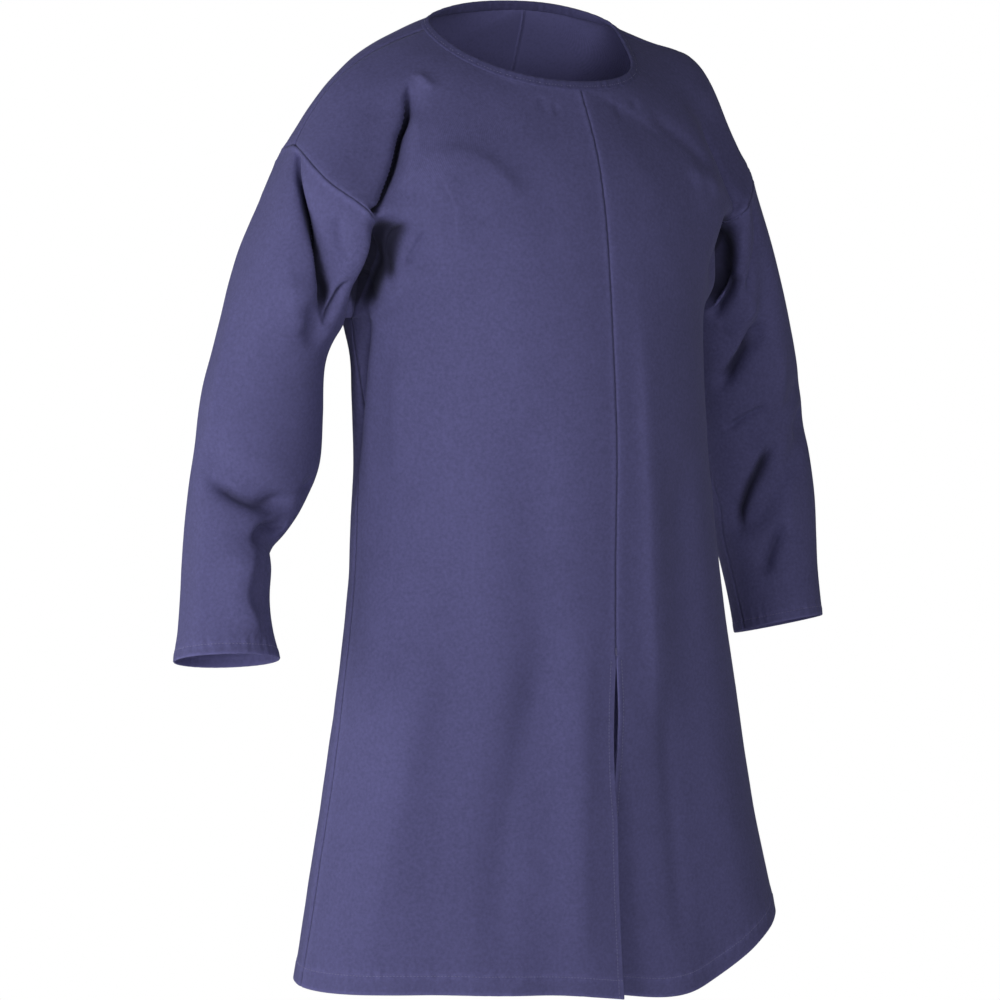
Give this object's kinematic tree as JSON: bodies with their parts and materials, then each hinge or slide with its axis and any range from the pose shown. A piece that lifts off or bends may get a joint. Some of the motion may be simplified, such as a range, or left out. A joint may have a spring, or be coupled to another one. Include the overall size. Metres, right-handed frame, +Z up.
{
  "type": "medieval tunic",
  "caption": "Knee-length long-sleeved pullover tunic in heavy cotton, with a bound round neck, dropped shoulders, a flared skirt and a front slit, filled out as worn.",
  "frame": {"origin": "midway between the neck ends of the two shoulder seams, where the wearer's shoulders carry the tunic", "axes": "+Z up along the body, -Y to the wearer's front, +X to the wearer's left"},
  "size_m": [0.81, 0.318, 1.0262],
  "materials": {
    "cloth": "matt cotton drill with a soft sheen",
    "binding": "matt cotton strip, folded and stitched"
  },
  "bodies": {
    "root": {"front_right": "cloth", "front_left": "cloth", "back_right": "cloth", "back_left": "cloth", "sleeve_right": "cloth", "sleeve_left": "cloth", "neck_binding": "binding"}
  },
  "joints": []
}
